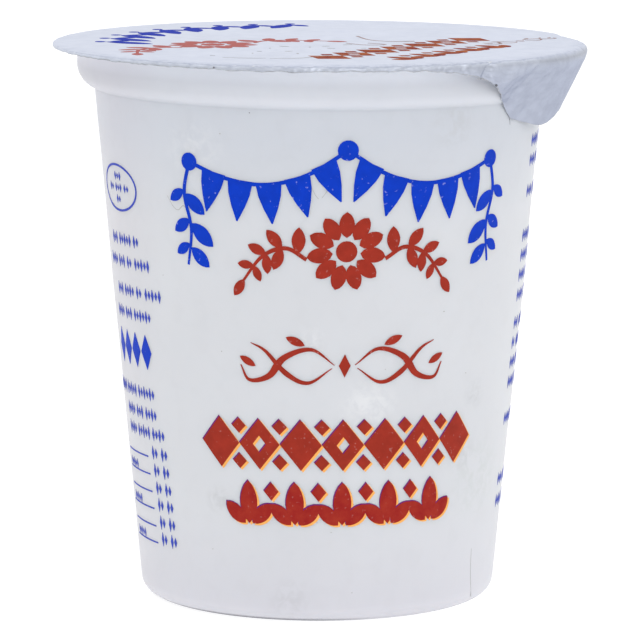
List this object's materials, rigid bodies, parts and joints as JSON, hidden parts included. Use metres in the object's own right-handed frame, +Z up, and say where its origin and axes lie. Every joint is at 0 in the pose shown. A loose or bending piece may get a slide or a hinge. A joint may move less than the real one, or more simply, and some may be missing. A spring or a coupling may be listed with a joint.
{
  "type": "cottage cheese pot",
  "caption": "Tapered round plastic food pot, full and sealed, with a rounded collar under its rim, a recessed base and a flat foil lid with a wide pull tab folded down.",
  "frame": {"origin": "on the pot's axis, in the plane of the foot ring that it stands on", "axes": "+Z up along the pot's axis, -Y towards the printed front, +X to the right of the front, which is the side of the pull tab"},
  "size_m": [0.0693, 0.069, 0.072],
  "materials": {
    "pot_plastic": "satin white",
    "lid_foil": "pale lacquered foil, finely crinkled",
    "print_blue": "printed blue ink",
    "print_red": "printed brick-red ink, mottled, with a thin orange fringe"
  },
  "bodies": {
    "root": {"pot": "pot_plastic", "lid": "lid_foil"}
  },
  "joints": []
}
